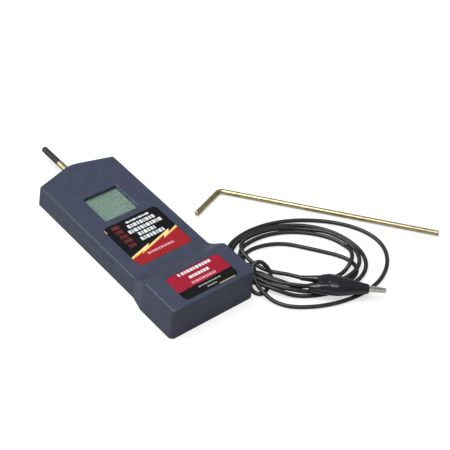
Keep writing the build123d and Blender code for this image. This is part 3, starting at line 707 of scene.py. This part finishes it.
def lathe(name, profile, place):
    """A closed form turned about the X axis, from a list of (along, radius) in metres."""
    mesh = bmesh.new()
    loops = []
    turn = [2 * math.pi * i / RELIEF_SIDES for i in range(RELIEF_SIDES)]
    for along, radius in profile:
        loops.append([mesh.verts.new((along, radius * math.cos(a), radius * math.sin(a))) for a in turn])
    for a, b in zip(loops, loops[1:]):
        for i in range(RELIEF_SIDES):
            j = (i + 1) % RELIEF_SIDES
            mesh.faces.new((a[i], a[j], b[j], b[i]))
    mesh.faces.new(loops[0])
    mesh.faces.new(loops[-1])
    bmesh.ops.recalc_face_normals(mesh, faces=mesh.faces)
    return object_from(mesh, name, place)


def make_strain_relief():
    """A flange on each side of the wall, and a ribbed sleeve that tapers to the lead."""
    low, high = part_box("lead_grommet")
    flange = (high.z - low.z) / 2
    edge = 0.1 * MM
    inner = low.x + INNER_FLANGE * MM
    outer = high.x - (LEAD_START[0][0] - SLEEVE_FROM) * MM
    outer_end = outer + OUTER_FLANGE * MM
    profile = [(low.x, flange * 0.9), (low.x + 2 * edge, flange), (inner - edge, flange),
               (inner, WALL_RADIUS * MM), (outer, WALL_RADIUS * MM), (outer + edge, flange),
               (outer_end - 2 * edge, flange), (outer_end, flange * 0.92)]
    start = outer_end + edge
    bands = 2 * RIB_COUNT + 1
    step = (high.x - start) / bands
    for i in range(bands):
        share = i / (bands - 1)
        radius = (1 - share) * SLEEVE_RADIUS + share * TIP_RADIUS + (RIB_PROUD if i % 2 else 0)
        profile += [(start + step * (i + 0.1), radius * MM), (start + step * (i + 0.9), radius * MM)]
    profile.append((high.x, TIP_RADIUS * 0.95 * MM))
    middle = (low + high) / 2
    relief = lathe("lead_strain_relief", profile, Matrix.Translation((0, middle.y, middle.z)))
    relief.data.materials.append(materials["black_plastic"])
    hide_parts("lead_grommet")
    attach(relief, "tester")


def make_battery_pad():
    """A foam strip pressed between the battery and the roof: flat faces, bulging sides."""
    low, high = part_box("battery_foam")
    mesh = bmesh.new()
    bmesh.ops.create_cube(mesh, size=1.0)
    bmesh.ops.subdivide_edges(mesh, edges=mesh.edges, cuts=PAD_CUTS, use_grid_fill=True)
    size = high - low
    middle = (low + high) / 2
    for vert in mesh.verts:
        p = vert.co * 2
        bulge = 1 - PAD_SIDE_PULL * abs(p.z) ** 3 - PAD_CORNER_PULL * abs(p.x * p.y) ** 6
        vert.co = Vector((middle.x + p.x * size.x / 2 * bulge, middle.y + p.y * size.y / 2 * bulge,
                          middle.z + p.z * size.z / 2))
    pad = object_from(mesh, "battery_pad")
    rounding = pad.modifiers.new("rounding", "SUBSURF")
    rounding.levels = 2
    apply_modifiers(pad)
    pad.data.shade_smooth()
    pad.data.materials.append(materials["foam"])
    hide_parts("battery_foam")
    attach(pad, "tester")


make_strain_relief()
make_battery_pad()


# ---- labels --------------------------------------------------------------------------------------

INK = 0.03                    # how far each layer of print stands on the one below
FIELD_CORNER = 3.3            # the printed fields' corners, just inside the labels' own

# Rows of plain bars that stand for lettering. Each: ink, layer, first and last x, y, height, the bars'
# widths in turn, and the gap between them.
FRONT_ROWS = [
    ("ink_white", 1, -3.8, 17.0, 10.8, 1.7, (2.6, 1.4, 3.4, 0.8), 0.7),
    ("ink_white", 1, -5.3, 18.4, 6.5, 3.3, (2.2, 1.1, 2.6, 1.5), 0.75),
    ("ink_white", 1, -8.0, 22.0, 1.6, 3.3, (2.2, 1.1, 2.6, 1.5), 0.75),
    ("ink_white", 1, -3.2, 14.5, -3.2, 3.3, (2.2, 1.1, 2.6, 1.5), 0.75),
    ("ink_white", 1, -4.6, 18.0, -8.0, 3.3, (2.2, 1.1, 2.6, 1.5), 0.75),
    ("ink_rose", 2, -9.4, 14.0, -22.0, 2.0, (1.7, 0.9, 1.3), 0.6),
]
BATTERY_ROWS = [
    ("ink_white", 2, -9.5, 16.4, -57.1, 2.5, (2.1, 1.2, 2.5), 0.6),
    ("ink_white", 2, -6.8, 11.7, -62.4, 2.5, (2.3, 1.3, 1.8), 0.6),
    ("ink_rose", 2, -8.4, 13.6, -67.4, 2.2, (1.2, 0.9, 1.6), 0.7),
    ("ink_grey", 1, -7.3, 13.1, -72.7, 1.1, (2.4, 1.2, 3.2), 0.5),
    ("ink_grey", 1, -1.8, 6.5, -75.6, 1.1, (2.0, 1.2), 0.5),
]
KEY_COUNT = 5                 # the maroon blocks down the front label's left side
KEY_PITCH = 5.0


def bar(x_low, x_high, y_middle, height):
    """A plain rectangle, as corner points."""
    y_low = y_middle - height / 2
    y_high = y_middle + height / 2
    return [(x_low, y_low), (x_high, y_low), (x_high, y_high), (x_low, y_high)]


def row_of_bars(ink, layer, x_low, x_high, y_middle, height, widths, gap):
    """Printed bars with the given widths in turn, from x_low as far as x_high."""
    shapes = []
    x = x_low
    for width in cycle(widths):
        if x + width > x_high + 0.01:
            return shapes
        shapes.append((ink, layer, bar(x, x + width, y_middle, height)))
        x += width + gap


def corner(centre_x, centre_y, radius, start, steps=8):
    """A quarter circle, from start degrees counter-clockwise."""
    angles = [math.radians(start + 90 * i / steps) for i in range(steps + 1)]
    return [(centre_x + radius * math.cos(a), centre_y + radius * math.sin(a)) for a in angles]


def add_ink(mesh, outline, base, layer, material_index):
    """One printed shape: a thin closed slab on the label's face."""
    low = base + INK * (layer - 1) * MM
    high = base + INK * layer * MM
    bottom = [mesh.verts.new((x * MM, y * MM, low)) for x, y in outline]
    top = [mesh.verts.new((x * MM, y * MM, high)) for x, y in outline]
    faces = [mesh.faces.new(top), mesh.faces.new(bottom[::-1])]
    for i in range(len(outline)):
        j = (i + 1) % len(outline)
        faces.append(mesh.faces.new((bottom[i], bottom[j], top[j], top[i])))
    for face in faces:
        face.material_index = material_index


def make_print(name, node, inks, shapes):
    """All the print on one label; each shape is an ink's name, a layer and an outline."""
    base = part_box(node)[1].z
    mesh = bmesh.new()
    for ink, layer, outline in shapes:
        add_ink(mesh, outline, base, layer, inks.index(ink))
    printed = object_from(mesh, name)
    for ink in inks:
        printed.data.materials.append(materials[ink])
    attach(printed, "tester")


def front_label_print():
    """Rows of bars, a red field with a lightning-like edge, and a column of blocks."""
    low, high = (corner_point / MM for corner_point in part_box("front_label"))
    edge_line = [(high.x, -10.4), (16.6, -12.2), (10.0, -14.6), (-4.0, -16.0), (-12.0, -19.2),
                 (low.x, -20.6)]
    wedge = (edge_line + corner(low.x + FIELD_CORNER, low.y + FIELD_CORNER, FIELD_CORNER, 180)
             + corner(high.x - FIELD_CORNER, low.y + FIELD_CORNER, FIELD_CORNER, 270))
    glow = [(high.x, -11.9), (high.x, -9.6), (16.4, -12.9), (17.9, -9.7), (-5.2, -16.4), (-2.4, -13.9),
            (low.x, -19.3), (low.x, -21.4), (-10.2, -18.6), (-13.6, -20.6), (11.0, -13.5), (9.4, -16.1)]
    flash = [(high.x, -10.9), (high.x, -9.6), (15.4, -13.0), (17.9, -9.7), (-6.0, -16.5), (-2.4, -13.9),
             (low.x, -19.3), (low.x, -20.5), (-9.4, -17.9), (-12.6, -19.8), (11.6, -12.8), (9.8, -15.5)]
    shapes = [("ink_red", 1, wedge), ("ink_orange", 2, glow), ("ink_yellow", 3, flash)]
    for row in FRONT_ROWS:
        shapes += row_of_bars(*row)
    shapes += [("ink_maroon", 1, bar(-16.4, -10.2, 10.4 - KEY_PITCH * i, 3.4)) for i in range(KEY_COUNT)]
    shapes.append(("ink_gold", 1, bar(low.x, low.x + 0.7, 11.0, 4.4)))
    inks = ["ink_red", "ink_orange", "ink_yellow", "ink_white", "ink_maroon", "ink_rose", "ink_gold"]
    make_print("front_label_print", "front_label", inks, shapes)


def battery_label_print():
    """A crimson field over the label's black, with rows of bars on both."""
    low, high = (corner_point / MM for corner_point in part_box("battery_label"))
    field = ([(low.x, -70.2), (high.x, -69.6)]
             + corner(high.x - FIELD_CORNER, high.y - FIELD_CORNER, FIELD_CORNER, 0)
             + corner(low.x + FIELD_CORNER, high.y - FIELD_CORNER, FIELD_CORNER, 90))
    shapes = [("ink_crimson", 1, field), ("ink_white", 2, bar(-12.4, -10.9, -57.0, 2.5))]
    for row in BATTERY_ROWS:
        shapes += row_of_bars(*row)
    shapes.append(("ink_gold", 1, bar(7.0, high.x - FIELD_CORNER, low.y + 0.35, 0.7)))
    inks = ["ink_crimson", "ink_white", "ink_rose", "ink_grey", "ink_gold"]
    make_print("battery_label_print", "battery_label", inks, shapes)


front_label_print()
battery_label_print()
